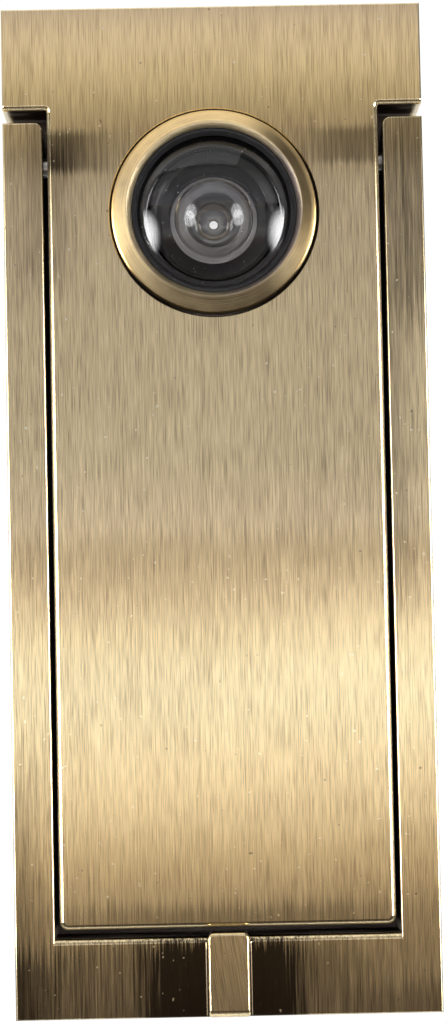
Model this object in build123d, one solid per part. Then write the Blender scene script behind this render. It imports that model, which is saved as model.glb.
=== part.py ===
from build123d import *
from math import atan2, cos, radians, sin, sqrt
import os

# A rectangular door knocker with a wide-angle viewer in its panel. All sizes are in mm.
# X points right, Z up and Y into the door, so the front looks along -Y. The origin is where
# the viewer's axis meets the outer face of the door.

# Knocker
WIDTH = 56.0  # across the head, and across the striker's arms
HEIGHT = 134.0  # top of the head to the bottom of the crossbar
DEPTH = 11.0  # door face to the front faces
VIEWER_DROP = 27.8  # top edge down to the viewer's axis
EAR_DROP = 13.65  # top edge down to the underside of the head's ears
ARM_WIDTH = 5.25
CROSSBAR_HEIGHT = 10.5
SIDE_GAP = 0.65  # panel to each arm
ARM_TOP_GAP = 1.65  # ear to the top of each arm
CROSSBAR_GAP = 1.1  # panel to the crossbar
BACKPLATE = 2.4  # thickness of the plate behind the arms
PLATE_INSET = 0.6  # how far the plate stops short of the outline
ARM_BACK_GAP = 0.6  # plate to the back of the arms
WALL = 2.4  # wall of the hollow casting
COVE = 0.3  # fillet between an ear and the panel's side
PANEL_CORNER = 1.1
ARM_CORNER = 1.0  # inner top corner of each arm
EDGE = 0.25  # small rounding of the visible edges
EAR_ROUND = 0.7  # rounding of the ears' lower front edges
CROSSBAR_ROUND = 0.8  # top front edge of the crossbar
STRIKE_PAD_WIDTH = 14.0  # pad that the crossbar knocks on
STRIKE_PAD_HEIGHT = 5.0
STRIKE_GAP = 0.1  # pad to the resting crossbar

# Finger tab on the crossbar
TAB_WIDTH = 5.4
TAB_PROUD = 3.0
TAB_CORNER = 0.8
TAB_FILLET = 0.45  # fillet where the tab meets the crossbar
TAB_EDGE = 0.35
TAB_TOP = 0.6  # how far the tab's top stands above the crossbar
TAB_FOOT = 0.9  # rounding of its lower front edge
TAB_SHORT = 0.2  # how far it stops above the crossbar's bottom

# Hinge
PIVOT_BELOW_ARM_TOP = 5.65
LIFT = 70.0  # degrees that the striker swings up before its heels stop it
HEEL_GAP = 0.15  # heel face to plate at the end of the lift
PIN_RADIUS = 1.5
PIN_COVER = 1.55  # metal left in an arm beyond the pin's hole
PIN_HOLE_SPARE = 0.2  # how much deeper the arm's hole is than its pin
PIN_HEAD_RIM = 0.9  # how far the head stands out round the shank
PIN_HEAD = 1.0
PIN_HEAD_ROOM = 0.2  # clear space round the head
PIN_TIP = 0.3  # chamfer
PIN_CLEARANCE = 0.05  # radial, pin in arm
PIN_SEAT = 0.01  # radial, pin in the casting

# Fixing boss
FIXING_UP = 14.6  # panel's bottom edge up to the fixing hole
FIXING_HOLE_RADIUS = 2.1  # tapping size of an M5 thread
FIXING_HOLE_DEPTH = 8.0
BOSS_WALL = 2.4
RIB = 1.6
RIB_SET_BACK = 2.0  # ribs stop this far from the door

# Viewer, outer half
LIP_RADIUS = 11.0  # bore behind the front lip, which holds the large lens
RING_BAND = 2.65  # width of the ring round the lip
FLANGE_PROUD = 3.0
FLANK = 0.3  # straight side of the ring, above the panel
RING_ROUND = 0.43  # how far in the rounding of its outer edge reaches
RING_RISE = 1.1  # how far up that rounding reaches
LIP_SLOPE = 0.6  # width of the slope from the ring's crest into the bore
CREST_FLAT = 0.15
LIP_CHAMFER = 0.9  # how deep that slope goes
FLANGE_GAP = 0.3  # radial, ring in its counterbore
COUNTERBORE = 1.0
COUNTERBORE_EDGE = 0.12
CUP_WALL = 1.0
CUP_CLEARANCE = 0.3  # radial, cup in the casting
CUP_SHORT = 0.5  # the cup stops this far from the door
CUP_FLOOR = 1.5
BARREL_RADIUS = 6.2
BARREL_WALL = 1.0
BARREL_LENGTH = 30.0  # door face to the barrel's inner end
THREAD_PITCH = 1.0
THREAD_DEPTH = 0.45
THREAD_TURNS = 26

# Lenses
LENS_FIT = 0.1  # radial, every lens and ring in its bore
FRONT_RING_WIDTH = 0.8  # how far the black ring reaches in over the glass
FRONT_RING = 1.2
FRONT_RING_DOWN = 1.2  # ring's front below the crest
FRONT_RING_SLOPE = 0.4
FRONT_RING_LIP = 0.3
FRONT_LENS_CONVEX = 24.0
FRONT_LENS_DOME_GAP = 0.1  # radial, the lens's dome in the black ring
FRONT_LENS_MIDDLE = 1.5
FRONT_LENS_LAND = 1.65  # black ring's edge in to the edge of the lens's hollow
FRONT_LENS_SPARE = 1.3  # how much larger the hollow's sphere is than its edge
CONE_STEP = 0.8  # edge of the hollow out to the tapered spacer
CONE_LAP = 0.8  # how far the tapered spacer laps over the second lens
CONE_LIP = 0.3
SECOND_LENS_RADIUS = 7.9
SECOND_LENS_CONCAVE = 9.0
SECOND_LENS_LAND = 1.7  # flat round the hollow in its front
SECOND_LENS_MIDDLE = 1.2
TUBE_SPACER = 3.0
TUBE_SPACER_WALL = 0.7
THIRD_LENS_CONCAVE = 12.0
THIRD_LENS_MIDDLE = 1.2
THIRD_LENS_LAND = 0.8
LOCK_RING = 2.0
LOCK_RING_WALL = 0.9
LOCK_SLOT = 1.0

# Viewer, inner half
DOOR = 45.0  # thickness of the door that it is set for
SLEEVE_CLEARANCE = 0.05  # radial, barrel in sleeve
SLEEVE_WALL = 0.75
SLEEVE_LENGTH = 31.0
INNER_FLANGE = 3.5
FLANGE_EDGE = 0.4
WASHER = 0.8
WASHER_RIM = 0.5  # how far the washer stands out round the inner flange
WASHER_EDGE = 0.25
WASHER_CLEARANCE = 0.1  # radial, sleeve in washer
GRIPS = 36  # grooves round the inner flange
GRIP_RADIUS = 0.45
KEY_SLOT = 1.6  # width of the two slots for a coin or key
KEY_SLOT_DEPTH = 1.0
KEY_SLOT_LAND = 1.2
EYE_SHOULDER = 1.05  # how far the eyepiece's lip reaches in
EYE_LIP = 1.0  # thickness of that lip
EYE_LENS_EDGE = 1.6
EYE_LENS_CONVEX = 16.0
EYE_LENS_LAND = 0.1
EYE_RING = 1.5
EYE_RING_WALL = 0.85

# Privacy cover
COVER = 1.5
COVER_LAP = 1.8  # how far the cover reaches round the eyepiece
COVER_BOSS_RADIUS = 3.0
COVER_EDGE = 0.4
COVER_OPEN = 100.0  # degrees that it stands open at rest
RIVET_RADIUS = 1.2
RIVET_LAND = 0.75  # metal between the rivet and the lens's pocket
RIVET_RIM = 1.1  # metal between the rivet and the flange's edge
RIVET_CLEARANCE = 0.05
RIVET_HEAD_RIM = 1.0
RIVET_HEAD = 0.7
RIVET_HEAD_ROUND = 0.55
RIVET_IN_FLANGE = 2.6
RIVET_SEAT = 0.01
SPRING_WASHER = 0.4
SPRING_WASHER_RIM = 1.2

BEYOND = 1.0  # how far a cut runs past the face it opens

# Places that follow from the sizes above
TOP = VIEWER_DROP
BOTTOM = TOP - HEIGHT
EAR_BOTTOM = TOP - EAR_DROP
ARM_TOP = EAR_BOTTOM - ARM_TOP_GAP
CROSSBAR_TOP = BOTTOM + CROSSBAR_HEIGHT
PANEL_BOTTOM = CROSSBAR_TOP + CROSSBAR_GAP
ARM_INSIDE = WIDTH / 2 - ARM_WIDTH
PANEL_SIDE = ARM_INSIDE - SIDE_GAP
ARM_BACK = BACKPLATE + ARM_BACK_GAP
ARM_DEPTH = DEPTH - ARM_BACK
PIVOT_Y = -(DEPTH + ARM_BACK) / 2
PIVOT_Z = ARM_TOP - PIVOT_BELOW_ARM_TOP
PIN_HEAD_RADIUS = PIN_RADIUS + PIN_HEAD_RIM
ARM_HOLE_END = WIDTH / 2 - PIN_COVER
FIXING_Z = PANEL_BOTTOM + FIXING_UP

FLANGE_RADIUS = LIP_RADIUS + RING_BAND
FLANGE_BACK = DEPTH - COUNTERBORE
CREST = DEPTH + FLANGE_PROUD
CUP_RADIUS = LIP_RADIUS + CUP_WALL
CUP_BORE = CUP_RADIUS + CUP_CLEARANCE
FLOOR = CUP_SHORT + CUP_FLOOR
BARREL_BORE = BARREL_RADIUS - BARREL_WALL

CUP_FILL = LIP_RADIUS - LENS_FIT  # radius of what sits in the cup
BARREL_FILL = BARREL_BORE - LENS_FIT  # radius of what sits in the barrel
RING_FRONT = CREST - FRONT_RING_DOWN
RING_BACK = RING_FRONT - FRONT_RING
RING_INSIDE = LIP_RADIUS - FRONT_RING_WIDTH
FRONT_DOME = RING_INSIDE - FRONT_LENS_DOME_GAP
FRONT_HOLLOW = RING_INSIDE - FRONT_LENS_LAND
SECOND_HOLLOW = SECOND_LENS_RADIUS - SECOND_LENS_LAND
THIRD_HOLLOW = BARREL_FILL - THIRD_LENS_LAND

SLEEVE_BORE = BARREL_RADIUS + SLEEVE_CLEARANCE
SLEEVE_RADIUS = SLEEVE_BORE + SLEEVE_WALL
SLEEVE_FILL = SLEEVE_BORE - LENS_FIT
EYE_BORE = SLEEVE_BORE - EYE_SHOULDER
WASHER_BACK = DOOR + WASHER
FLANGE_END = WASHER_BACK + INNER_FLANGE
EYE_LENS_BACK = FLANGE_END - EYE_LIP
EYE_LENS_FRONT = EYE_LENS_BACK - EYE_LENS_EDGE
RIVET_Z = SLEEVE_BORE + RIVET_LAND + RIVET_RADIUS
INNER_FLANGE_RADIUS = RIVET_Z + RIVET_RADIUS + RIVET_RIM
WASHER_RADIUS = INNER_FLANGE_RADIUS + WASHER_RIM
COVER_RADIUS = EYE_BORE + COVER_LAP
COVER_FRONT = FLANGE_END + SPRING_WASHER
COVER_BACK = COVER_FRONT + COVER


def block(x0, x1, y0, y1, z0, z1):
    """A box between two corners, given in any order."""
    middle = Pos((x0 + x1) / 2, (y0 + y1) / 2, (z0 + z1) / 2)
    return middle * Box(abs(x1 - x0), abs(y1 - y0), abs(z1 - z0))


def rod(radius, y0, y1, x=0.0, z=0.0):
    """A cylinder along Y."""
    return Pos(x, (y0 + y1) / 2, z) * Rot(90, 0, 0) * Cylinder(radius, y1 - y0)


def pivot_rod(radius, x0, x1):
    """A cylinder along X on the striker's pivot line."""
    return Pos((x0 + x1) / 2, PIVOT_Y, PIVOT_Z) * Rot(0, 90, 0) * Cylinder(radius, abs(x1 - x0))


def ring(outer, inner, y0, y1, z=0.0):
    """A flat ring about an axis along Y."""
    return rod(outer, y0, y1, z=z) - rod(inner, y0 - BEYOND, y1 + BEYOND, z=z)


def turned(points):
    """A solid of revolution about the viewer's axis, from (radius, y) points."""
    return revolve(make_face(Polyline(*points, close=True)), Axis.Y, 360)


def edges_at(solid, axis, within=WIDTH, **planes):
    """The edges along an axis that lie on each named plane, such as y=-11, and whose
    middles are less than the given distance from the middle plane."""
    found = [e for e in solid.edges().filter_by(axis) if abs(e.center().X) < within]
    for name, value in planes.items():
        found = [e for e in found if abs(getattr(e.center(), name.upper()) - value) < 1e-4]
    return ShapeList(found)


def sag(curve, radius):
    """How deep a sphere of radius curve is across a circle of the given radius."""
    return curve - sqrt(curve * curve - radius * radius)


def dome(curve, radius, y, side):
    """A cap of a sphere that stands on a circle in the plane y, towards side * Y."""
    centre = y + side * (sag(curve, radius) - curve)
    slab = rod(radius, *sorted((y - side * 0.01, y + side * (sag(curve, radius) + BEYOND))))
    return slab & Pos(0, centre, 0) * Sphere(curve)


def second_front():
    """Where the second lens begins and the tapered spacer ends."""
    return -FLOOR - SECOND_LENS_MIDDLE - sag(SECOND_LENS_CONCAVE, SECOND_HOLLOW)


def front_lens_back():
    """Where the large lens ends and the tapered spacer begins."""
    apex = -RING_BACK - sag(FRONT_LENS_CONVEX, FRONT_DOME)
    return apex + FRONT_LENS_MIDDLE + sag(FRONT_HOLLOW + FRONT_LENS_SPARE, FRONT_HOLLOW)


def third_front():
    """Where the third lens begins and the tube spacer ends."""
    return TUBE_SPACER - FLOOR


def third_back():
    """Where the third lens ends and the lock ring begins."""
    return third_front() + THIRD_LENS_MIDDLE + sag(THIRD_LENS_CONCAVE, THIRD_HOLLOW)


def casting_front():
    """The outside of the head and the panel, with their rounded edges."""
    half = WIDTH / 2
    front = block(-PANEL_SIDE, PANEL_SIDE, -DEPTH, 0, PANEL_BOTTOM, EAR_BOTTOM)
    front = fillet(edges_at(front, Axis.Y, z=PANEL_BOTTOM), PANEL_CORNER)
    front += block(-half, half, -DEPTH, 0, EAR_BOTTOM, TOP)
    front = fillet(edges_at(front, Axis.Y, within=ARM_INSIDE, z=EAR_BOTTOM), COVE)
    front = fillet(edges_at(front, Axis.X, y=-DEPTH, z=EAR_BOTTOM), EAR_ROUND)
    rim = front.faces().sort_by(Axis.Y)[0].edges()
    return fillet(ShapeList([e for e in rim if abs(e.center().Z - EAR_BOTTOM) > 2 * EAR_ROUND]), EDGE)


def casting_hollow():
    """The room inside the casting, round its ribs and bosses."""
    half, inside = WIDTH / 2 - WALL, PANEL_SIDE - WALL
    hollow = block(-inside, inside, WALL - DEPTH, BEYOND, PANEL_BOTTOM + WALL, TOP - WALL)
    hollow += block(-half, half, WALL - DEPTH, BEYOND, EAR_BOTTOM + WALL, TOP - WALL)
    hollow -= rod(CUP_BORE + BOSS_WALL, -DEPTH, BEYOND)
    hollow -= rod(FIXING_HOLE_RADIUS + BOSS_WALL, -DEPTH, BEYOND, z=FIXING_Z)
    for z in (FIXING_Z, FIXING_Z / 2):
        hollow -= block(-inside, inside, -DEPTH, -RIB_SET_BACK, z - RIB / 2, z + RIB / 2)
    return hollow


def knocker_base():
    """The hollow casting: head with two ears, centre panel, plate behind the arms."""
    plate = WIDTH / 2 - PLATE_INSET
    body = casting_front()
    body += block(-plate, plate, -BACKPLATE, 0, BOTTOM + PLATE_INSET, EAR_BOTTOM)
    pad = Pos(0, 0, (BOTTOM + CROSSBAR_TOP) / 2)
    pad *= block(-STRIKE_PAD_WIDTH / 2, STRIKE_PAD_WIDTH / 2, STRIKE_GAP - ARM_BACK, -BACKPLATE / 2,
                 -STRIKE_PAD_HEIGHT / 2, STRIKE_PAD_HEIGHT / 2)
    body += pad
    body -= casting_hollow()
    body -= rod(CUP_BORE, -DEPTH - BEYOND, BEYOND)
    body -= rod(FLANGE_RADIUS + FLANGE_GAP, -DEPTH - BEYOND, -FLANGE_BACK)
    rims = body.edges().filter_by(GeomType.CIRCLE).sort_by(Axis.Y)
    rims = [e for e in rims if abs(e.radius - FLANGE_RADIUS - FLANGE_GAP) < 1e-4]
    body = chamfer(rims[0], COUNTERBORE_EDGE)
    body -= rod(FIXING_HOLE_RADIUS, -FIXING_HOLE_DEPTH, BEYOND, z=FIXING_Z)
    for side in (-1, 1):
        inside = PANEL_SIDE - WALL
        room = inside - PIN_HEAD - PIN_HEAD_ROOM
        body -= pivot_rod(PIN_RADIUS + PIN_SEAT, side * room, side * (PANEL_SIDE + BEYOND))
        body -= pivot_rod(PIN_HEAD_RADIUS + PIN_HEAD_ROOM, side * room, side * inside)
    return body


def heel_cutter():
    """What is taken off behind the upper ends of both arms. From the back it leaves an arc
    about the pivot and then a slope, which lies along the plate at the end of the lift."""
    reach = -BACKPLATE - PIVOT_Y - HEEL_GAP
    back, lift = ARM_DEPTH / 2, radians(LIFT)
    start = (back, sqrt(reach * reach - back * back))
    middle = (lift + atan2(start[1], start[0])) / 2
    end = (reach * cos(lift), reach * sin(lift))
    run = (PIVOT_BELOW_ARM_TOP - end[1]) / cos(lift)
    crest = (end[0] - run * sin(lift), PIVOT_BELOW_ARM_TOP)
    far = PIVOT_BELOW_ARM_TOP + BEYOND
    outline = Curve() + ThreePointArc(start, (reach * cos(middle), reach * sin(middle)), end)
    outline += Polyline(end, crest, (crest[0], far), (2 * back, far), (2 * back, start[1]), start)
    side_view = Plane.YZ * make_face(outline)
    return Pos(-WIDTH, PIVOT_Y, PIVOT_Z) * extrude(side_view, 2 * WIDTH, dir=(1, 0, 0))


def tab_fillet(side):
    """The fillet between one side of the finger tab and the crossbar."""
    near, far = side * TAB_WIDTH / 2, side * (TAB_WIDTH / 2 + TAB_FILLET)
    web = block(near, far, -DEPTH - TAB_FILLET, EDGE - DEPTH, BOTTOM + TAB_SHORT, CROSSBAR_TOP - CROSSBAR_ROUND)
    return web - Pos(far, -DEPTH - TAB_FILLET, 0) * Cylinder(TAB_FILLET, 3 * HEIGHT)


def finger_tab():
    """The lip in the middle of the crossbar that a finger lifts."""
    half, top, foot, front = TAB_WIDTH / 2, CROSSBAR_TOP + TAB_TOP, BOTTOM + TAB_SHORT, -DEPTH - TAB_PROUD
    tab = block(-half, half, front, -DEPTH + BEYOND, foot, top)
    tab = fillet(edges_at(tab, Axis.Y, z=top), TAB_CORNER)
    tab = fillet(edges_at(tab, Axis.X, y=front, z=foot), TAB_FOOT)
    rim = [e for e in tab.faces().sort_by(Axis.Y)[0].edges() if e.center().Z > foot + TAB_FOOT + EDGE]
    return fillet(ShapeList(rim), TAB_EDGE) + tab_fillet(-1) + tab_fillet(1)


def striker():
    """The U-shaped knocker: two arms, a crossbar and its finger tab."""
    half = WIDTH / 2
    frame = block(-half, half, -DEPTH, -ARM_BACK, BOTTOM, ARM_TOP)
    frame -= block(-ARM_INSIDE, ARM_INSIDE, -DEPTH - BEYOND, 0, CROSSBAR_TOP, ARM_TOP + BEYOND)
    frame = fillet(edges_at(frame, Axis.Y, within=half - EDGE, z=ARM_TOP), ARM_CORNER)
    frame = fillet(edges_at(frame, Axis.X, y=-DEPTH, z=CROSSBAR_TOP), CROSSBAR_ROUND)
    front = frame.faces().filter_by(Axis.Y).sort_by(Axis.Y)[0]
    rim = [e for e in front.edges() if abs(e.center().Z - CROSSBAR_TOP) > 2 * CROSSBAR_ROUND]
    frame = fillet(ShapeList(rim), EDGE)
    frame -= heel_cutter()
    frame += finger_tab()
    for side in (-1, 1):
        frame -= pivot_rod(PIN_RADIUS + PIN_CLEARANCE, side * (ARM_INSIDE - BEYOND), side * ARM_HOLE_END)
    return frame


def hinge_pin(side):
    """A headed pin, put in from inside the casting."""
    seat, tip = PANEL_SIDE - WALL, ARM_HOLE_END - PIN_HOLE_SPARE
    shank = pivot_rod(PIN_RADIUS, side * seat, side * tip)
    outer = shank.edges().filter_by(GeomType.CIRCLE).sort_by(lambda e: side * e.center().X)[-1]
    shank = chamfer(outer, PIN_TIP)
    return shank + pivot_rod(PIN_HEAD_RADIUS, side * (seat - PIN_HEAD), side * seat)


def viewer_housing():
    """The outer half of the viewer: ring, cup for the large lens and threaded barrel."""
    foot = (FLANGE_RADIUS, -DEPTH - FLANK)
    shoulder = (FLANGE_RADIUS - RING_ROUND, foot[1] - RING_RISE)
    slope = LIP_RADIUS + LIP_SLOPE
    crest = (slope + CREST_FLAT, -CREST)
    outline = Curve() + TangentArc(foot, shoulder, tangent=(0, -1))
    outline += Polyline(shoulder, crest, (slope, -CREST), *housing_inside(), *housing_outside(), foot)
    return revolve(make_face(outline), Axis.Y, 360)


def housing_inside():
    """The stepped bore, from the lip to the barrel's inner end, as (radius, y) points."""
    pocket, step = SECOND_LENS_RADIUS + LENS_FIT, second_front()
    return [(LIP_RADIUS, LIP_CHAMFER - CREST), (LIP_RADIUS, step), (pocket, step), (pocket, -FLOOR),
            (BARREL_BORE, -FLOOR), (BARREL_BORE, BARREL_LENGTH)]


def housing_outside():
    """From the barrel's inner end, along its thread, to the edge of the ring."""
    root = BARREL_RADIUS - THREAD_DEPTH
    points = [(root, BARREL_LENGTH)]
    for turn in range(THREAD_TURNS):
        y = BARREL_LENGTH - THREAD_PITCH * (turn + 0.5)
        points += [(BARREL_RADIUS, y), (BARREL_RADIUS, y - THREAD_PITCH / 8)]
        points += [(root, y - THREAD_PITCH / 2), (root, y - THREAD_PITCH * 5 / 8)]
    points += [(root, -CUP_SHORT), (CUP_RADIUS, -CUP_SHORT)]
    return points + [(CUP_RADIUS, -FLANGE_BACK), (FLANGE_RADIUS, -FLANGE_BACK)]


def front_ring():
    """The black ring in front of the large lens, sloping in towards the glass."""
    return turned([(CUP_FILL, -RING_FRONT), (CUP_FILL, -RING_BACK), (RING_INSIDE, -RING_BACK),
                   (RING_INSIDE, -RING_BACK - FRONT_RING_LIP),
                   (RING_INSIDE + FRONT_RING_SLOPE, -RING_FRONT)])


def front_lens():
    """The large outer lens, a deep meniscus behind the ring."""
    curve = FRONT_HOLLOW + FRONT_LENS_SPARE
    back = front_lens_back()
    glass = rod(CUP_FILL, -RING_BACK, back) + dome(FRONT_LENS_CONVEX, FRONT_DOME, -RING_BACK, -1)
    return glass - Pos(0, back - sag(curve, FRONT_HOLLOW) + curve, 0) * Sphere(curve)


def tapered_spacer():
    """The black ring between the large lens and the second lens."""
    front, back, lap = front_lens_back(), second_front(), SECOND_LENS_RADIUS - CONE_LAP
    return turned([(CUP_FILL, front), (CUP_FILL, back), (lap, back), (lap, back - CONE_LIP),
                   (FRONT_HOLLOW + CONE_STEP, front)])


def second_lens():
    """The lens on the floor of the cup, flat behind and hollow in front."""
    glass = rod(SECOND_LENS_RADIUS, second_front(), -FLOOR)
    return glass - Pos(0, -FLOOR - SECOND_LENS_MIDDLE - SECOND_LENS_CONCAVE, 0) * Sphere(SECOND_LENS_CONCAVE)


def tube_spacer():
    """The short black tube that sets the third lens off the second."""
    return ring(BARREL_FILL, BARREL_FILL - TUBE_SPACER_WALL, -FLOOR, third_front())


def third_lens():
    """The small lens in the barrel, flat in front and hollow behind."""
    centre = third_front() + THIRD_LENS_MIDDLE + THIRD_LENS_CONCAVE
    return rod(BARREL_FILL, third_front(), third_back()) - Pos(0, centre, 0) * Sphere(THIRD_LENS_CONCAVE)


def lock_ring():
    """The slotted ring that holds the lens stack from behind."""
    end = third_back() + LOCK_RING
    body = ring(BARREL_FILL, BARREL_FILL - LOCK_RING_WALL, third_back(), end)
    half = LOCK_SLOT / 2
    return body - block(-BARREL_BORE, BARREL_BORE, end - LOCK_RING / 3, end + BEYOND, -half, half)


def inner_washer():
    """The flat washer between the door's inner face and the inner flange."""
    disc = rod(WASHER_RADIUS, DOOR, WASHER_BACK)
    disc = chamfer(disc.edges().filter_by(GeomType.CIRCLE).sort_by(Axis.Y)[-1], WASHER_EDGE)
    return disc - rod(SLEEVE_RADIUS + WASHER_CLEARANCE, DOOR - BEYOND, WASHER_BACK + BEYOND)


def inner_sleeve():
    """The inner half of the viewer: it screws onto the barrel and draws the halves together."""
    body = rod(INNER_FLANGE_RADIUS, WASHER_BACK, FLANGE_END)
    body = chamfer(body.edges().filter_by(GeomType.CIRCLE), FLANGE_EDGE)
    for index in range(GRIPS):
        turn = radians(360 / GRIPS * (index + 0.5))
        x, z = INNER_FLANGE_RADIUS * cos(turn), INNER_FLANGE_RADIUS * sin(turn)
        body -= rod(GRIP_RADIUS, WASHER_BACK - BEYOND, FLANGE_END + BEYOND, x, z)
    body += rod(SLEEVE_RADIUS, DOOR - SLEEVE_LENGTH, WASHER_BACK + EYE_LIP)
    body -= rod(SLEEVE_BORE, DOOR - SLEEVE_LENGTH - BEYOND, EYE_LENS_BACK)
    body -= rod(EYE_BORE, EYE_LENS_FRONT, FLANGE_END + BEYOND)
    half, floor = KEY_SLOT / 2, FLANGE_END - KEY_SLOT_DEPTH
    for side in (-1, 1):
        near, far = side * (EYE_BORE + KEY_SLOT_LAND), side * (INNER_FLANGE_RADIUS + BEYOND)
        body -= block(near, far, floor, FLANGE_END + BEYOND, -half, half)
    hole = rod(RIVET_RADIUS + RIVET_SEAT, FLANGE_END - RIVET_IN_FLANGE, FLANGE_END + BEYOND, z=RIVET_Z)
    return body - hole


def eyepiece_lens():
    """The lens that the person inside looks into."""
    half = EYE_BORE - EYE_LENS_LAND
    glass = rod(SLEEVE_FILL, EYE_LENS_FRONT, EYE_LENS_BACK)
    glass += dome(EYE_LENS_CONVEX, half, EYE_LENS_FRONT, -1)
    return glass + dome(2 * EYE_LENS_CONVEX, half, EYE_LENS_BACK, 1)


def eyepiece_ring():
    """The ring that keeps the eyepiece lens against its lip."""
    return ring(SLEEVE_FILL, SLEEVE_FILL - EYE_RING_WALL, EYE_LENS_FRONT - EYE_RING, EYE_LENS_FRONT)


def privacy_cover():
    """The swivelling cover, shaped as it lies over the eyepiece and then turned open."""
    cover = rod(COVER_RADIUS, COVER_FRONT, COVER_BACK)
    cover += rod(COVER_BOSS_RADIUS, COVER_FRONT, COVER_BACK, z=RIVET_Z)
    cover += block(-COVER_BOSS_RADIUS, COVER_BOSS_RADIUS, COVER_FRONT, COVER_BACK, 0, RIVET_Z)
    cover = fillet(cover.faces().sort_by(Axis.Y)[-1].edges(), COVER_EDGE)
    cover -= rod(RIVET_RADIUS + RIVET_CLEARANCE, COVER_FRONT - BEYOND, COVER_BACK + BEYOND, z=RIVET_Z)
    return cover.rotate(Axis((0, 0, RIVET_Z), (0, 1, 0)), COVER_OPEN)


def cover_rivet():
    """The rivet that the cover turns on."""
    end = COVER_BACK + RIVET_CLEARANCE
    head = rod(RIVET_RADIUS + RIVET_HEAD_RIM, end, end + RIVET_HEAD, z=RIVET_Z)
    head = fillet(head.edges().filter_by(GeomType.CIRCLE).sort_by(Axis.Y)[-1], RIVET_HEAD_ROUND)
    return head + rod(RIVET_RADIUS, FLANGE_END - RIVET_IN_FLANGE, end, z=RIVET_Z)


def spring_washer():
    """The thin washer that makes the cover stay where it is turned."""
    inner = RIVET_RADIUS + RIVET_CLEARANCE
    return ring(RIVET_RADIUS + SPRING_WASHER_RIM, inner, FLANGE_END, COVER_FRONT, z=RIVET_Z)


PIECES = {
    "knocker_base": knocker_base,
    "striker": striker,
    "hinge_pin_left": lambda: hinge_pin(-1),
    "hinge_pin_right": lambda: hinge_pin(1),
    "viewer_housing": viewer_housing,
    "front_ring": front_ring,
    "front_lens": front_lens,
    "tapered_spacer": tapered_spacer,
    "second_lens": second_lens,
    "tube_spacer": tube_spacer,
    "third_lens": third_lens,
    "lock_ring": lock_ring,
    "inner_washer": inner_washer,
    "inner_sleeve": inner_sleeve,
    "eyepiece_lens": eyepiece_lens,
    "eyepiece_ring": eyepiece_ring,
    "privacy_cover": privacy_cover,
    "cover_rivet": cover_rivet,
    "spring_washer": spring_washer,
}

os.makedirs("parts", exist_ok=True)
for name, make in PIECES.items():
    export_step(make(), f"parts/{name}.step")
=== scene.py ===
from math import atan2, cos, pi, radians, sin, sqrt

import bmesh
import bpy
from mathutils import Matrix, Vector


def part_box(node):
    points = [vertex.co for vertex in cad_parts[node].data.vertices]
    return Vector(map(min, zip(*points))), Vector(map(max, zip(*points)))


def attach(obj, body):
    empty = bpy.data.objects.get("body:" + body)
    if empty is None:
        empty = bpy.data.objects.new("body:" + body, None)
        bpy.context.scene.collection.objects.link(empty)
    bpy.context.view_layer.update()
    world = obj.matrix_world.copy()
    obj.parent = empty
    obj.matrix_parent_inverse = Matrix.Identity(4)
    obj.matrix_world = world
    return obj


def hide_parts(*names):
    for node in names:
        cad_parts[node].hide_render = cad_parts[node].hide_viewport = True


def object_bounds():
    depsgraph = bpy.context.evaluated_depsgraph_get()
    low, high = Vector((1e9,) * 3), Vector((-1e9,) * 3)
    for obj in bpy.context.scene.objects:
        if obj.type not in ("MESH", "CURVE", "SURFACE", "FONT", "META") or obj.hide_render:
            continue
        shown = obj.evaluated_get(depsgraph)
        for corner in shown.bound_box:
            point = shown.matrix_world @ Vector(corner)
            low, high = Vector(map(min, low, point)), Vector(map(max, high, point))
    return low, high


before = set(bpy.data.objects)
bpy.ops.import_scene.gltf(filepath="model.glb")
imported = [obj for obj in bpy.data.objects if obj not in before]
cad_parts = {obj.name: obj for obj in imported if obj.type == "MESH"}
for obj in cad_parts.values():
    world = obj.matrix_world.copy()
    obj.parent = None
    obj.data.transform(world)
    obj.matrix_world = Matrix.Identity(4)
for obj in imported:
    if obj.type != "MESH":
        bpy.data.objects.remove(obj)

CAD_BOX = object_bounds()
MM = 0.001

BRASS = (0.8, 0.6, 0.3, 1)  # shown only where no nodes are

# Colours of the brushed brass: as it is brushed, then darkened by patina and by painted shade and dark
# reflections, worn, pitted, and painted dark in the gaps as shade and patina
BRUSHED_BRIGHT = (1.0, 0.83, 0.50, 1)
BRUSHED_BROWN = (0.36, 0.27, 0.16, 1)
PATINA_AND_SHADE_BROWN = (0.040, 0.028, 0.020, 1)
WORN_BRIGHT = (0.98, 0.88, 0.64, 1)
PIT_BROWN = (0.16, 0.11, 0.06, 1)
GAP_SHADE_AND_PATINA_BROWN = (0.035, 0.022, 0.014, 1)

# Colours of the turned brass, its painted shade and painted mauve highlight, the blackened bore and
# the grey floor of the cup
TURNED_BRIGHT = (0.98, 0.80, 0.49, 1)
TURNED_BROWN = (0.44, 0.31, 0.19, 1)
TURNED_SHADE = (0.035, 0.022, 0.013, 1)
MAUVE_HIGHLIGHT = (0.34, 0.28, 0.29, 1)
BLACKENED = (0.012, 0.012, 0.013, 1)
GREY_DEEP = (0.2, 0.2, 0.21, 1)
GREY_PALE = (0.95, 0.95, 0.95, 1)

# Colours of the plastic and the glass
PLASTIC_DEEP = (0.006, 0.006, 0.007)
PLASTIC_WORN = (0.02, 0.02, 0.021)
DUST = (0.45, 0.44, 0.43, 1)
GLASS_COOL = (0.96, 0.965, 0.97, 1)
GLASS_WARM = (0.99, 0.985, 0.98, 1)

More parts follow.
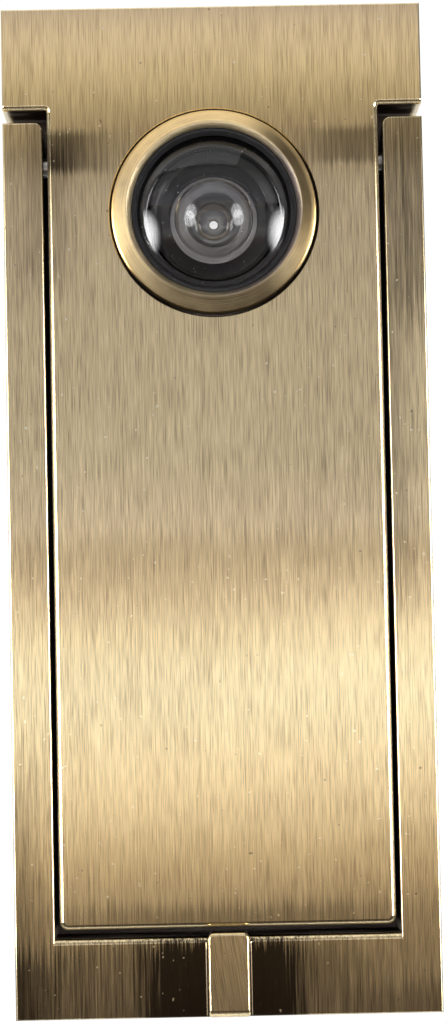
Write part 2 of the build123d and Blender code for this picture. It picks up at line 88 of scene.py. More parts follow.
# Where a finish changes, in metres: each pair is where the change begins and where it ends
TAB_STANDS_OUT = (-0.0126, -0.0132)  # depth of the finger tab's front
HIDDEN_SIDE = (0.0276, 0.0268)  # half the width inside which the gaps are painted dark, as shade and patina
HIDDEN_TOP = (0.0277, 0.0273)
HIDDEN_FOOT = (-0.1061, -0.1057)
HIDDEN_FADE = 0.0005
RING_FACE = (0.0134, 0.0127)  # radius inside which the ring's right side gets painted shade
RING_SIDE = (0.01345, 0.01355)
RING_LIP = (0.0112, 0.0119)
SLOPE_OUTER = (0.0118, 0.0113)  # the slope from the ring's crest into the bore, where a mauve highlight is painted
SLOPE_INNER = (0.0109, 0.01105)
BARREL_INSIDE = (0.00548, 0.00543)
CUP_INSIDE = (-0.0018, -0.0019)  # depth in front of which the whole bore is black
FLOOR_FRONT = (-0.0024, -0.0022)
FLOOR_BACK = (-0.0015, -0.0018)
FLOOR_REACH = (0.0075, 0.0074)

PATCH_SIDES = (1.0, 0.1)  # from the edge of a patch of patina and painted shade in to where it is full
PATCH_ENDS = (1.0, 0.55)
STRAY = 0.9  # how much a patch's edge follows the brush lines
DARKENING_LIMIT = 0.96  # the darkest that the patina and the painted shade make the brass
TAB_SLANT = 0.14  # sideways run of the tab's brush lines for each metre up
RING_SHADE_SIDE = (0.966, 0.259)  # direction of the ring's right side that gets painted shade, in x and z

# Heights of the finishes' marks, in metres
BRUSH_MARK = 0.000004
TURNING_MARK = 0.000006
TOOL_MARK = 0.00002
MOULD_GRAIN = 0.000004

# Darkened patches of the brushed brass: patina beside the finger tab, painted dark reflections and
# shade on the head and low down, and darker strips along the arms and the panel's edges; strength,
# then centre and reach as (x, z) in metres
CASTING_PATCHES = [
    # painted dark reflections on the head's band either side of the viewer
    (0.62, (-0.0200, 0.0085), (0.009, 0.0034)), (0.5, (0.0185, 0.0088), (0.009, 0.0030)),
    # darker at the panel's left side; painted shade along the panel's foot
    (0.35, (-0.023, 0.0), (0.006, 0.012)), (0.35, (0.0, -0.0960), (0.04, 0.0055)),
    # darker strips down the panel's edges beside the arms
    (0.3, (-0.0235, -0.060), (0.003, 0.05)), (0.3, (0.0235, -0.060), (0.003, 0.05)),
]
STRIKER_PATCHES = [
    # patina left beside the finger tab, where the brush can't reach
    (0.9, (-0.0040, -0.103), (0.0105, 0.0092)), (0.9, (0.0040, -0.103), (0.0085, 0.0090)),
    (0.5, (-0.008, -0.105), (0.020, 0.011)), (0.4, (0.008, -0.105), (0.017, 0.010)),
    # painted shade at the two ends of the crossbar, low down
    (0.5, (-0.027, -0.106), (0.014, 0.011)), (0.35, (0.026, -0.108), (0.014, 0.007)),
    # darker at the right arm's top, along the arms' inner edges and at the left arm's foot
    (0.5, (0.0290, 0.004), (0.008, 0.022)), (0.35, (0.0225, -0.016), (0.0045, 0.045)),
    (0.3, (-0.0225, 0.006), (0.0045, 0.020)), (0.35, (-0.0290, -0.092), (0.008, 0.026)),
]

# The light wall that the flat faces reflect: a height in metres and the light's colour there
WALL = [
    (-0.4, (0.08, 0.06, 0.05)), (-0.192, (0.14, 0.11, 0.09)), (-0.172, (0.2, 0.16, 0.12)),
    (-0.152, (0.23, 0.18, 0.13)), (-0.142, (0.38, 0.31, 0.24)), (-0.132, (0.5, 0.41, 0.31)),
    (-0.112, (0.77, 0.68, 0.59)), (-0.092, (0.96, 0.9, 0.83)), (-0.072, (1.0, 1.0, 1.0)),
    (-0.053, (1.0, 1.0, 1.0)), (-0.043, (0.95, 0.91, 0.86)), (-0.033, (0.8, 0.74, 0.71)),
    (-0.023, (0.64, 0.57, 0.54)), (-0.011, (0.48, 0.43, 0.4)), (-0.0065, (0.44, 0.4, 0.37)),
    (-0.0045, (0.66, 0.63, 0.66)), (0.005, (0.58, 0.55, 0.59)), (0.017, (0.51, 0.49, 0.51)),
    (0.03, (0.47, 0.46, 0.475)), (0.136, (0.45, 0.43, 0.45)), (0.148, (0.25, 0.22, 0.19)),
    (0.16, (0.39, 0.34, 0.28)), (0.172, (0.56, 0.5, 0.39)), (0.184, (0.73, 0.67, 0.58)),
    (0.196, (0.77, 0.7, 0.67)), (0.202, (0.7, 0.64, 0.64)), (0.21, (0.45, 0.43, 0.5)),
    (0.5, (0.4, 0.4, 0.4)),
]
WALL_GLOW = 1.0
SIDE_GLOW = 24.0
CEILING_GLOW = 1.0
LEFT_GLOW = 0.8
ROOM_GLOW = 0.22
BACKDROP_GLOW = 1.05
SIDE_LIGHT_TURN = 49  # degrees from straight ahead to each side light
SIDE_LIGHT_AWAY = 0.6
SIDE_LIGHT_HEIGHT = -0.045
LIGHT_FADE = (1.0, 0.35)  # from an oval light's edge in to where it is full
FLOOR_PLACE = (0, 0.75, -0.33)
FLOOR_HALF = 0.9

# The camera: its aim beside the middle of the front, its turns in degrees, its distance
FRONT_FACE = -11.0 * MM
AIM_RIGHT = 0.47 * MM
AIM_DOWN = 0.81 * MM
YAW, PITCH, ROLL = 0.53, 3.5, -1.15
DISTANCE = 0.38
FOCAL_LENGTH = 100.97

SHARP_TURN = 35  # degrees; an edge that turns by less is shaded smooth


class Wire:
    """One output in a finish's node tree, so that shader maths reads as arithmetic."""

    def __init__(self, tree, output=None):
        self.tree = tree
        self.output = output

    def node(self, kind, inputs=None, output=0, stops=None, **settings):
        """A new node: its settings first, then the values or links of its sockets."""
        made = self.tree.nodes.new("ShaderNode" + kind)
        for name, value in settings.items():
            setattr(made, name, value)
        if stops:
            ramp = made.color_ramp.elements
            ramp[0].position, ramp[0].color = stops[0]
            ramp[1].position, ramp[1].color = stops[-1]
            for position, colour in stops[1:-1]:
                ramp.new(position).color = colour
        for name, value in (inputs or {}).items():
            if isinstance(value, Wire):
                self.tree.links.new(value.output, made.inputs[name])
            else:
                made.inputs[name].default_value = value
        return Wire(self.tree, made.outputs[output])

    def maths(self, operation, left, right=0.0):
        """A Math node on two wires or numbers."""
        return self.node("Math", {0: left, 1: right}, operation=operation)

    def __add__(self, other):
        return self.maths("ADD", self, other)

    def __sub__(self, other):
        return self.maths("SUBTRACT", self, other)

    def __rsub__(self, other):
        return self.maths("SUBTRACT", other, self)

    def __mul__(self, other):
        return self.maths("MULTIPLY", self, other)

    def __truediv__(self, other):
        return self.maths("DIVIDE", self, other)

    def __pow__(self, other):
        return self.maths("POWER", self, other)

    def __abs__(self):
        return self.maths("ABSOLUTE", self)

    __radd__ = __add__
    __rmul__ = __mul__

    def least(self, other):
        """The smaller of two values."""
        return self.maths("MINIMUM", self, other)

    def most(self, other):
        """The larger of two values."""
        return self.maths("MAXIMUM", self, other)

    def mix(self, first, second):
        """Blends two colours, with this wire as the share of the second."""
        return self.node("Mix", {0: self, 6: first, 7: second}, output=2, data_type="RGBA")

    def step(self, low, high):
        """0 at low and 1 at high, smooth between; low may be the larger."""
        inputs = {"Value": self, "From Min": low, "From Max": high}
        return self.node("MapRange", inputs, interpolation_type="SMOOTHSTEP")


def finish(name, base, **constants):
    """A new material; returns it, its Principled shader and a wire for new nodes."""
    material = bpy.data.materials.new(name)
    material.use_nodes = True
    tree = material.node_tree
    shader = tree.nodes["Principled BSDF"]
    shader.inputs["Base Color"].default_value = base
    for socket, value in constants.items():
        shader.inputs[socket.replace("_", " ")].default_value = value
    return material, shader, Wire(tree)


def feed(shader, **sockets):
    """Links wires into a shader's sockets."""
    for socket, wire in sockets.items():
        wire.tree.links.new(wire.output, shader.inputs[socket.replace("_", " ")])


def noise(place, size, offset, detail, roughness):
    """Noise with features of the given size in metres along x, y and z."""
    spread = {"Vector": place, "Scale": tuple(1 / side for side in size), "Location": (offset,) * 3}
    return place.node("TexNoise", {"Vector": place.node("Mapping", spread), "Scale": 1.0,
                                   "Detail": detail, "Roughness": roughness})


def along(place, across, up, offset, detail=2.0, roughness=0.5):
    """Noise in brush lines that run up the piece: sizes in metres sideways and upwards."""
    return noise(place, (across, across, up), offset, detail, roughness)


def blotches(place, size, offset, detail=3.0):
    """Even noise with features of the given size in metres."""
    return noise(place, (size, size, size), offset, detail, 0.5)


def swings(*weighed):
    """The sum of (noise, weight) pairs, each noise taken about its middle value."""
    return sum((shade - 0.5) * weight for shade, weight in weighed)


def parts_of(place):
    """The x, y and z of a position."""
    split = place.node("SeparateXYZ", {"Vector": place}).output.node
    return [Wire(place.tree, output) for output in split.outputs]


def near(x, z, centre, reach, stray):
    """1 in the middle of a soft patch on the front, 0 outside it, with sides that stray."""
    left = abs((x - centre[0]) / reach[0]) + stray * STRAY
    up = abs((z - centre[1]) / reach[1]) + stray * STRAY
    return left.step(*PATCH_SIDES) * up.step(*PATCH_ENDS)


def brushed_brass(name, seed, dark_from, patches):
    """Antiqued brass brushed up the piece and lacquered.

    It is painted dark deeper than dark_from, in the gaps, as shade and as the patina the brush can't
    reach, and is darkened in patches by patina and by painted shade.
    """
    material, shader, wire = finish(name, BRASS, Anisotropic=1.0)
    place = wire.node("TexCoord", output="Object")
    x, y, z = parts_of(place)
    tab = y.step(*TAB_STANDS_OUT)
    place = place.node("CombineXYZ", {0: x + z * tab * TAB_SLANT, 1: y, 2: z})
    fine = along(place, across=0.00010, up=0.0045, offset=seed, detail=1.0, roughness=0.6)
    line = along(place, across=0.00021, up=0.0100, offset=seed + 3, detail=3.0, roughness=0.65)
    band = along(place, across=0.0012, up=0.045, offset=seed + 7, detail=3.0)
    cloud = blotches(place, size=0.03, offset=seed + 11)
    tone = swings((fine, 1.2), (line, 0.65), (band, 0.25), (cloud, 0.3))
    colour = (0.40 - tone).step(0.1, 1.0).mix(BRUSHED_BRIGHT, BRUSHED_BROWN)

    # patina beside the tab, and painted shade and dark reflections elsewhere; none on the tab's front
    darkening = sum(near(x, z, centre, reach, line - 0.5) * strength
              for strength, centre, reach in patches)
    colour = (darkening * (1 - tab)).least(DARKENING_LIMIT).mix(colour, PATINA_AND_SHADE_BROWN)
    worn = blotches(place, size=0.0007, offset=seed + 5, detail=1.0).step(0.74, 0.80)
    colour = worn.mix(colour, WORN_BRIGHT)
    pit = blotches(place, size=0.0009, offset=seed + 21, detail=1.0).step(0.22, 0.17)
    colour = (pit * 0.6).mix(colour, PIT_BROWN)

    # painted shade in the gaps behind the front faces, with the patina left there
    shade_and_patina_in_gaps = y.step(dark_from, dark_from + HIDDEN_FADE) * abs(x).step(*HIDDEN_SIDE)
    shade_and_patina_in_gaps = shade_and_patina_in_gaps * z.step(*HIDDEN_TOP) * z.step(*HIDDEN_FOOT)
    colour = shade_and_patina_in_gaps.mix(colour, GAP_SHADE_AND_PATINA_BROWN)
    rough = 0.12 + swings((line, 0.05), (cloud, 0.03)) + shade_and_patina_in_gaps * 0.35
    height = swings((fine, 0.6), (line, 0.6)) + worn * 0.6 - pit
    bump = place.node("Bump", {"Height": height, "Strength": 0.5, "Distance": BRUSH_MARK})
    feed(shader, Base_Color=colour, Roughness=rough, Metallic=1 - shade_and_patina_in_gaps * 0.5, Normal=bump)
    return material


def turned_brass(name, seed, bore, ring_shade_and_cup=0.0):
    """Brass turned on a lathe about the viewer's axis, with fine rings.

    It is black inside the bore, a radius and a depth in millimetres. The last argument, from 0 to 1,
    also paints shade on the ring below and on its right and a mauve highlight on its slope into the
    bore, and shows the turned grey floor of the cup.
    """
    material, shader, wire = finish(name, BRASS)
    place = wire.node("TexCoord", output="Object")
    x, y, z = parts_of(place)
    radius = (x * x + z * z) ** 0.5
    rings = place.node("CombineXYZ", {0: radius, 1: y, 2: 0.0})
    fine = along(rings, across=0.00010, up=1.0, offset=seed, roughness=0.6)
    wide = along(rings, across=0.0004, up=1.0, offset=seed + 4)
    cloud = blotches(place, size=0.008, offset=seed + 9)
    smear = blotches(place, size=0.0016, offset=seed + 14)
    tone = swings((fine, 1.1), (wide, 0.6), (cloud, 0.5), (smear, 0.4))
    colour = (0.38 - tone).step(0.2, 1.0).mix(TURNED_BRIGHT, TURNED_BROWN)

    # painted shade: the ring darker below and on its right, and on its outer side low down and to the
    # right
    low = (0 - z) / radius
    right = (x * RING_SHADE_SIDE[0] + z * RING_SHADE_SIDE[1]) / radius
    darkening = low.step(0.42, 0.88) * 0.82 + right.step(0.68, 0.96) * 0.72 * radius.step(*RING_FACE)
    darkening = darkening + swings((fine, 0.9), (cloud, 0.6)) * darkening
    darkening = darkening + radius.step(*RING_SIDE) * (low + x / radius * 0.6).step(-0.3, 0.3)
    darkening = (darkening * ring_shade_and_cup).most(0.0).least(DARKENING_LIMIT) * radius.step(*RING_LIP)
    colour = darkening.mix(colour, TURNED_SHADE)
    # a painted mauve highlight on the slope into the bore, low down and on the right
    slope = radius.step(*SLOPE_OUTER) * radius.step(*SLOPE_INNER)
    painted_sheen = slope * (low * 0.6 + right).step(0.1, 0.7) * ring_shade_and_cup
    colour = (painted_sheen * 0.85).mix(colour, MAUVE_HIGHLIGHT)

    edge, end = bore[0] * MM, bore[1] * MM
    black = radius.step(edge + 0.00008, edge + 0.00003) * y.step(end, end + 0.0001)
    if ring_shade_and_cup:
        black = black * y.step(*CUP_INSIDE).most(radius.step(*BARREL_INSIDE))
    floor_of_cup = y.step(*FLOOR_FRONT) * y.step(*FLOOR_BACK) * radius.step(*FLOOR_REACH) * ring_shade_and_cup
    floor_tone = ((fine + wide) * 0.5).mix(GREY_DEEP, GREY_PALE)
    colour = black.mix(colour, floor_of_cup.mix(BLACKENED, floor_tone))
    rough = 0.34 + swings((cloud, 0.12), (fine, 0.1)) + black * 0.1
    bump = place.node("Bump", {"Height": fine + wide * 0.5, "Strength": 0.6, "Distance": TURNING_MARK})
    metal = 1 - black * (1 - floor_of_cup)
    feed(shader, Base_Color=colour, Roughness=rough, Metallic=metal, Normal=bump)
    return material


def plain_metal(name, light, dark, rough, seed):
    """Machined metal left as it comes, with faint tool marks and tarnish."""
    material, shader, wire = finish(name, light, Metallic=1.0)
    place = wire.node("TexCoord", output="Object")
    cloud = blotches(place, size=0.003, offset=seed)
    mark = along(place, across=0.00012, up=0.002, offset=seed + 2)
    colour = (cloud * 0.7 + mark * 0.3).step(0.42, 0.72).mix(light, dark)
    bump = place.node("Bump", {"Height": mark, "Strength": 0.2, "Distance": TOOL_MARK})
    feed(shader, Base_Color=colour, Roughness=rough + swings((cloud, 0.2)), Normal=bump)
    return material


def black_plastic(name, rough, seed, pale=1.0):
    """Moulded black plastic with a satin skin, dust and small nicks; pale lightens it."""
    material, shader, wire = finish(name, (0.01, 0.01, 0.011, 1), Specular_IOR_Level=0.3)
    place = wire.node("TexCoord", output="Object")
    grain = blotches(place, size=0.00035, offset=seed, detail=2.0)
    dust = blotches(place, size=0.0003, offset=seed + 4, detail=1.0).step(0.73, 0.78)
    deep, worn = [tuple(part * pale for part in shade) + (1,)
                  for shade in (PLASTIC_DEEP, PLASTIC_WORN)]
    skin = blotches(place, size=0.004, offset=seed + 8).mix(deep, worn)
    colour = (dust * 0.5).mix(skin, DUST)
    bump = place.node("Bump", {"Height": grain + dust, "Strength": 0.2, "Distance": MOULD_GRAIN})
    feed(shader, Base_Color=colour, Roughness=rough + swings((grain, 0.15)), Normal=bump)
    return material


def optical_glass(name, seed):
    """Clear moulded lens with a few specks of dust on it."""
    material, shader, wire = finish(name, (0.97, 0.975, 0.98, 1), Transmission_Weight=1.0,
                                    IOR=1.49, Roughness=0.0)
    place = wire.node("TexCoord", output="Object")
    dust = blotches(place, size=0.00045, offset=seed, detail=1.0).step(0.775, 0.80)
    tint = blotches(place, size=0.006, offset=seed + 6).mix(GLASS_COOL, GLASS_WARM)
    feed(shader, Base_Color=tint, Roughness=dust * 0.5)
    return material


FINISH = {
    "base": brushed_brass("brushed_brass_casting", 1.0, -0.01096, CASTING_PATCHES),
    "striker": brushed_brass("brushed_brass_striker", 31.0, -0.0104, STRIKER_PATCHES),
    "turned": turned_brass("turned_brass_ring", 2.0, (11.0, -12.95), 1.0),
    "inner": turned_brass("turned_brass_inner", 17.0, (6.25, 13.0)),
    "plain": plain_metal("plain_brass", (0.80, 0.60, 0.32, 1), (0.42, 0.27, 0.12, 1), 0.32, 5.0),
    "nickel": plain_metal("nickelled_steel", (0.70, 0.67, 0.62, 1), (0.34, 0.32, 0.29, 1),
                          0.28, 8.0),
    "spring": plain_metal("spring_steel", (0.52, 0.53, 0.55, 1), (0.25, 0.25, 0.26, 1),
                          0.3, 12.0),
    "plastic": black_plastic("black_plastic_satin", 0.35, 3.0),
    "matt": black_plastic("black_plastic_matt", 0.5, 13.0),
    "tube": black_plastic("grey_plastic_tube", 0.3, 23.0, 12.0),
    "glass": optical_glass("optical_glass_clear", 4.0),
}


class Outline:
    """Half of a turned piece's section, as radius and depth in millimetres."""

    def __init__(self, radius, depth):
        self.mesh = bmesh.new()
        self.first = self.last = self.mesh.verts.new((radius * MM, depth * MM, 0))

    def line(self, *corners):
        """Carries the outline on through corners, in straight lines."""
        for radius, depth in corners:
            corner = self.mesh.verts.new((radius * MM, depth * MM, 0))
            self.mesh.edges.new((self.last, corner))
            self.last = corner
        return self

    def sweep(self, centre, radius, depth, steps=20):
        """Carries the outline on to a corner, along an arc about a centre on the axis."""
        start = atan2(self.last.co.y - centre * MM, self.last.co.x)
        end = atan2(depth - centre, radius)
        swept = bmesh.ops.spin(self.mesh, geom=[self.last], cent=(0, centre * MM, 0),
                               axis=(0, 0, 1), dvec=(0, 0, 0), angle=end - start, steps=steps,
                               use_merge=False, use_duplicate=False)
        corners = [item for item in swept["geom_last"] if isinstance(item, bmesh.types.BMVert)]
        self.last = corners[0]
        return self

    def close(self):
        """Joins the last corner to the first."""
        self.mesh.edges.new((self.last, self.first))
        return self

    def turn(self, steps=128):
        """The solid turned about the viewer's axis, closed at its seam and its poles."""
        mesh = self.mesh
        bmesh.ops.spin(mesh, geom=mesh.verts[:] + mesh.edges[:], cent=(0, 0, 0), axis=(0, 1, 0),
                       dvec=(0, 0, 0), angle=2 * pi, steps=steps, use_merge=True,
                       use_duplicate=False)
        bmesh.ops.remove_doubles(mesh, verts=mesh.verts[:], dist=0.5e-6)
        bmesh.ops.recalc_face_normals(mesh, faces=mesh.faces[:])
        return mesh


def rounded(mesh, width, sharp):
    """Rounds every edge of a bmesh that turns by more than `sharp` degrees."""
    edges = [edge for edge in mesh.edges
             if edge.is_manifold and edge.calc_face_angle() > radians(sharp)]
    bmesh.ops.bevel(mesh, geom=edges, offset=width * MM, offset_type="OFFSET", segments=2,
                    profile=0.5, affect="EDGES", material=-1, clamp_overlap=True)
    return mesh


def into_scene(name, mesh, material):
    """Puts a bmesh into the scene as an object of one material."""
    data = bpy.data.meshes.new(name)
    mesh.to_mesh(data)
    mesh.free()
    data.materials.append(material)
    made = bpy.data.objects.new(name, data)
    bpy.context.scene.collection.objects.link(made)
    return made


def piece(name, mesh, body, node, material):
    """Makes a bmesh the piece that stands for a CAD node."""
    for face in mesh.faces:
        face.smooth = True
    for edge in mesh.edges:
        edge.smooth = not edge.is_manifold or edge.calc_face_angle() < radians(SHARP_TURN)
    made = into_scene(name, mesh, material)
    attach(made, body)
    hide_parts(node)


def sag(curve, radius):
    """How far a sphere's top lies in front of its edge; negative if its centre is in front."""
    return (abs(curve) - sqrt(curve ** 2 - radius ** 2)) * (1 if curve > 0 else -1)


def depth_of(node):
    """A turned part's front, back and radius in millimetres, from its box."""
    low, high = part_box(node)
    return low.y / MM, high.y / MM, high.x / MM


# Places of the viewer's parts, in millimetres along its axis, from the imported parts' boxes
HOUSING_FRONT, HOUSING_BACK, RING_RADIUS = depth_of("viewer_housing")
_, BLACK_BACK, CUP_FILL = depth_of("front_ring")
_, LENS_BACK, _ = depth_of("front_lens")
SECOND_FRONT, SECOND_BACK, SECOND_RADIUS = depth_of("second_lens")
_, _, BARREL_FILL = depth_of("tube_spacer")
THIRD_FRONT, THIRD_BACK, _ = depth_of("third_lens")

# Sizes of the housing that no box gives, in millimetres
LIP = 11.0  # radius of the bore that holds the large lens
LIP_SLOPE = 0.6  # width of the slope from the ring's crest into the bore
LIP_CHAMFER = 0.9  # how deep that slope goes
CREST_FLAT = 0.15
RING_FOOT = -11.3  # where the ring's straight side ends
RING_SEAT = -10.0  # the back of the ring
RING_ROUND = 0.43  # how far in the rounding of its outer edge reaches
RING_RISE = 1.1  # how far up that rounding reaches
CUP_RADIUS = 12.0
CUP_BACK = -0.5
CUP_FLOOR = -2.0
LENS_ROOM = 0.1
BARREL_BORE = 5.2
THREAD_ROOT = 5.75
THREAD_PITCH = 1.0
THREAD_TURNS = 25
THREAD_STEPS = 48  # faces in one turn
THREAD_SECTION = [(THREAD_ROOT - 0.05, 3.6), (THREAD_ROOT + 0.02, 3.64), (6.18, 4.02),
                  (6.18, 4.12), (THREAD_ROOT + 0.02, 4.5), (THREAD_ROOT - 0.05, 4.54)]
EDGE_BREAK = 0.02  # rounding of the turned edges

# The lenses' faces: the radius of a dome or hollow at its edge, then its curve
OUTER_DOME = (10.1, 24.0)
OUTER_HOLLOW = (8.55, 9.85)
SECOND_HOLLOW = (6.2, -9.0)
THIRD_HOLLOW = (4.3, 12.0)
FLAT = (0.0, 1.0)
HAIR = 0.03  # air left behind the second lens


def lens(front, back, rim):
    """A lens between plain rims.

    Front and back are (edge depth, dome radius, curve), the curve negative when its centre is
    in front; a dome radius of 0 is a flat face.
    """
    depth, reach, curve = front
    apex = depth - sag(curve, reach)
    outline = Outline(0.0, apex)
    if reach:
        outline.sweep(apex + curve, reach, depth)
    depth, reach, curve = back
    outline.line((rim, front[0]), (rim, depth), (reach, depth))
    if reach:
        apex = depth - sag(curve, reach)
        outline.sweep(apex + curve, 0.0, apex)
    return outline


def thread():
    """A real thread, wound as one ridge that is sunk a little into the barrel."""
    mesh = bmesh.new()
    corners = [mesh.verts.new((radius * MM, depth * MM, 0)) for radius, depth in THREAD_SECTION]
    loop = [mesh.edges.new(pair) for pair in zip(corners, corners[1:] + corners[:1])]
    bmesh.ops.spin(mesh, geom=corners + loop, cent=(0, 0, 0), axis=(0, 1, 0),
                   dvec=(0, THREAD_PITCH * MM / THREAD_STEPS, 0), angle=2 * pi * THREAD_TURNS,
                   steps=THREAD_STEPS * THREAD_TURNS, use_merge=False, use_duplicate=False)
    open_edges = [edge for edge in mesh.edges if edge.is_boundary]
    bmesh.ops.holes_fill(mesh, edges=open_edges, sides=0)
    bmesh.ops.recalc_face_normals(mesh, faces=mesh.faces[:])
    return mesh


def viewer_housing():
    """The ring, the cup and the barrel in one turned piece, with its thread."""
    crest, pocket = HOUSING_FRONT, SECOND_RADIUS + LENS_ROOM
    outline = Outline(RING_RADIUS, RING_FOOT)
    bend = 2 * atan2(RING_ROUND, RING_RISE)
    curve = RING_RISE / sin(bend)
    for index in range(1, 7):
        turn = bend * index / 6
        outline.line((RING_RADIUS - curve * (1 - cos(turn)), RING_FOOT - curve * sin(turn)))
    outline.line((LIP + LIP_SLOPE + CREST_FLAT, crest), (LIP + LIP_SLOPE, crest),
                 (LIP, crest + LIP_CHAMFER), (LIP, SECOND_FRONT), (pocket, SECOND_FRONT),
                 (pocket, CUP_FLOOR), (BARREL_BORE, CUP_FLOOR), (BARREL_BORE, HOUSING_BACK),
                 (THREAD_ROOT, HOUSING_BACK), (THREAD_ROOT, CUP_BACK), (CUP_RADIUS, CUP_BACK),
                 (CUP_RADIUS, RING_SEAT), (RING_RADIUS, RING_SEAT))
    mesh = rounded(outline.close().turn(160), width=EDGE_BREAK, sharp=50)
    ridge, wound = bpy.data.meshes.new("thread"), thread()
    wound.to_mesh(ridge)
    wound.free()
    mesh.from_mesh(ridge)
    bpy.data.meshes.remove(ridge)
    piece("viewer_ring_and_barrel", mesh, "base", "viewer_housing",
          FINISH["turned"])


def front_lens():
    """The large outer lens, a dome in front and a hollow behind."""
    outline = lens((BLACK_BACK, *OUTER_DOME), (LENS_BACK, *OUTER_HOLLOW), CUP_FILL)
    piece("outer_lens", outline.turn(), "base", "front_lens", FINISH["glass"])


def second_lens():
    """The lens on the cup's floor, a hair off it so that no two faces share a plane."""
    outline = lens((SECOND_FRONT, *SECOND_HOLLOW), (SECOND_BACK - HAIR, *FLAT), SECOND_RADIUS)
    piece("cup_floor_lens", outline.turn(), "base", "second_lens",
          FINISH["glass"])


def third_lens():
    """The small lens in the barrel, flat in front and hollow behind."""
    outline = lens((THIRD_FRONT, *FLAT), (THIRD_BACK, *THIRD_HOLLOW), BARREL_FILL)
    piece("barrel_lens", outline.turn(96), "base", "third_lens",
          FINISH["glass"])


viewer_housing()
front_lens()
second_lens()
third_lens()

NODE_FINISH = {
    "knocker_base": "base", "striker": "striker",
    "hinge_pin_left": "nickel", "hinge_pin_right": "nickel",
    "front_ring": "plastic", "tapered_spacer": "matt", "tube_spacer": "tube",
    "lock_ring": "plain", "inner_washer": "plain", "inner_sleeve": "inner",
    "eyepiece_ring": "plain", "eyepiece_lens": "glass", "privacy_cover": "inner",
    "cover_rivet": "nickel", "spring_washer": "spring",
}
for node, key in NODE_FINISH.items():
    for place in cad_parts[node].material_slots:
        place.material = FINISH[key]


def card(name, width, height, centre, facing, stops=None, strength=1.0, shown=False):
    """A flat card of the studio that gives off light, graded from its bottom to its top."""
    mesh = bmesh.new()
    bmesh.ops.create_grid(mesh, x_segments=1, y_segments=1, size=0.5)
    bmesh.ops.scale(mesh, vec=(width, height, 1), verts=mesh.verts[:])
    turn = Vector(facing).to_track_quat("Z", "Y").to_matrix().to_4x4()
    bmesh.ops.transform(mesh, matrix=Matrix.Translation(centre) @ turn, verts=mesh.verts[:])
    material = bpy.data.materials.new(name)
    material.use_nodes = True
    tree = material.node_tree
    tree.nodes.remove(tree.nodes["Principled BSDF"])
    wire = Wire(tree)
    colour = (1, 1, 1, 1)
    if stops:
        rise = parts_of(wire.node("TexCoord", output="Object"))[2]
        low = centre[2] - height / 2
        share = (rise - low) / height
        colour = share.node("ValToRGB", {0: share},
                            stops=[((at - low) / height, (*tint, 1)) for at, tint in stops])
    glow = wire.node("Emission", {"Color": colour, "Strength": strength})
    tree.links.new(glow.output, tree.nodes["Material Output"].inputs["Surface"])
    made = into_scene(name, mesh, material)
    made.visible_camera = shown
    return made


def oval_light(name, reach, rise, place, target, strength):
    """A soft light that fades from its middle to its oval edge."""
    made = card(name, 2 * reach, 2 * rise, place, Vector(target) - Vector(place),
                strength=strength)
    tree = made.data.materials[0].node_tree
    spot = Wire(tree).node("TexCoord", output="Object")
    away = spot.node("VectorMath", {0: spot, 1: place}, operation="SUBTRACT")
    ahead = (Vector(target) - Vector(place)).normalized()
    across = ahead.cross(Vector((0, 0, 1))).normalized()
    lift = across.cross(ahead)
    left, up = [away.node("VectorMath", {0: away, 1: side}, output=1, operation="DOT_PRODUCT")
                for side in (across / reach, lift / rise)]
    fade = ((left * left + up * up) ** 0.5).step(*LIGHT_FADE)
    tree.links.new((fade * strength).output, tree.nodes["Emission"].inputs["Strength"])


def floor():
    """A plain pale floor, a little way below the object."""
    mesh = bmesh.new()
    bmesh.ops.create_grid(mesh, x_segments=1, y_segments=1, size=FLOOR_HALF)
    bmesh.ops.translate(mesh, vec=FLOOR_PLACE, verts=mesh.verts[:])
    material, shader, wire = finish("pale_floor", (0.82, 0.82, 0.81, 1), Roughness=0.8)
    place = wire.node("TexCoord", output="Object")
    shade = blotches(place, size=0.4, offset=6.0)
    feed(shader, Base_Color=shade.mix((0.80, 0.80, 0.79, 1), (0.84, 0.84, 0.83, 1)))
    into_scene("floor", mesh, material)


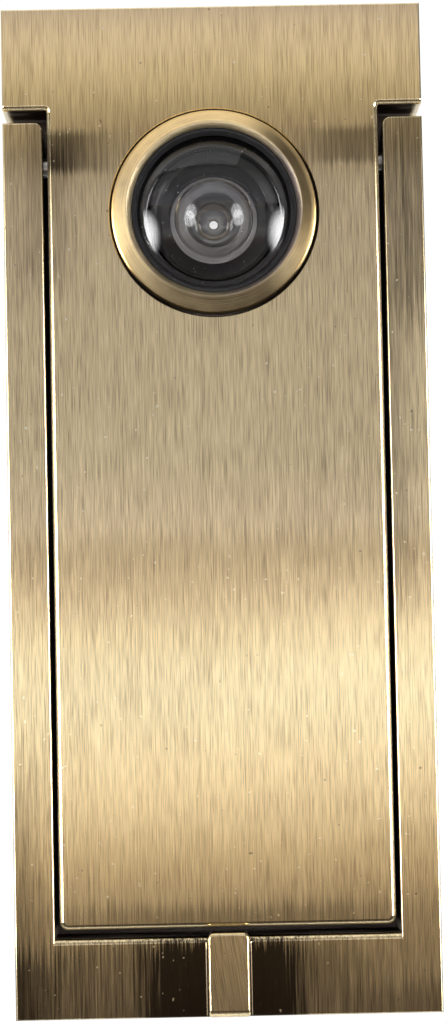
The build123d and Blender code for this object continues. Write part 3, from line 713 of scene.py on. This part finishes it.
def studio():
    """The pale room: a backdrop, the floor, three light cards and two side lights."""
    world = bpy.data.worlds.new("pale_room")
    world.use_nodes = True
    world.node_tree.nodes["Background"].inputs["Color"].default_value = (1, 1, 1, 1)
    world.node_tree.nodes["Background"].inputs["Strength"].default_value = ROOM_GLOW
    bpy.context.scene.world = world
    card("backdrop", width=3.0, height=3.0, centre=(0, 1.7, 0), facing=(0, -1, 0),
         strength=BACKDROP_GLOW, shown=True)
    floor()
    card("graded_wall", width=1.8, height=1.2, centre=(0, -0.75, -0.03), facing=(0, 1, 0),
         stops=WALL, strength=WALL_GLOW)
    card("ceiling", width=1.5, height=1.6, centre=(-0.45, -0.1, 0.75), facing=(0, 0, -1),
         strength=CEILING_GLOW)
    card("left_wall", width=1.4, height=1.0, centre=(-0.85, -0.1, 0.25), facing=(1, 0, 0),
         strength=LEFT_GLOW)
    for side, name in ((-1, "left_light"), (1, "right_light")):
        turn = radians(SIDE_LIGHT_TURN * side)
        place = (SIDE_LIGHT_AWAY * sin(turn), -SIDE_LIGHT_AWAY * cos(turn), SIDE_LIGHT_HEIGHT)
        oval_light(name, reach=0.16, rise=0.19, place=place, target=(0, FRONT_FACE, 0),
                   strength=SIDE_GLOW)


def camera():
    """A camera that looks up a little at the middle of the object's front."""
    low, high = CAD_BOX
    centre = Vector(((low.x + high.x) / 2 + AIM_RIGHT, FRONT_FACE,
                     (low.z + high.z) / 2 - AIM_DOWN))
    yaw, pitch, roll = radians(YAW), radians(PITCH), radians(ROLL)
    ahead = Vector((sin(yaw) * cos(pitch), cos(yaw) * cos(pitch), sin(pitch)))
    view = bpy.data.cameras.new("camera")
    view.lens = FOCAL_LENGTH
    view.clip_start = 0.01
    made = bpy.data.objects.new("camera", view)
    made.matrix_world = (Matrix.Translation(centre - ahead * DISTANCE)
                         @ Matrix.Rotation(-yaw, 4, "Z")
                         @ Matrix.Rotation(pi / 2 + pitch, 4, "X")
                         @ Matrix.Rotation(roll, 4, "Z"))
    bpy.context.scene.collection.objects.link(made)
    bpy.context.scene.camera = made


studio()
camera()
bpy.context.scene.view_settings.view_transform = "Standard"
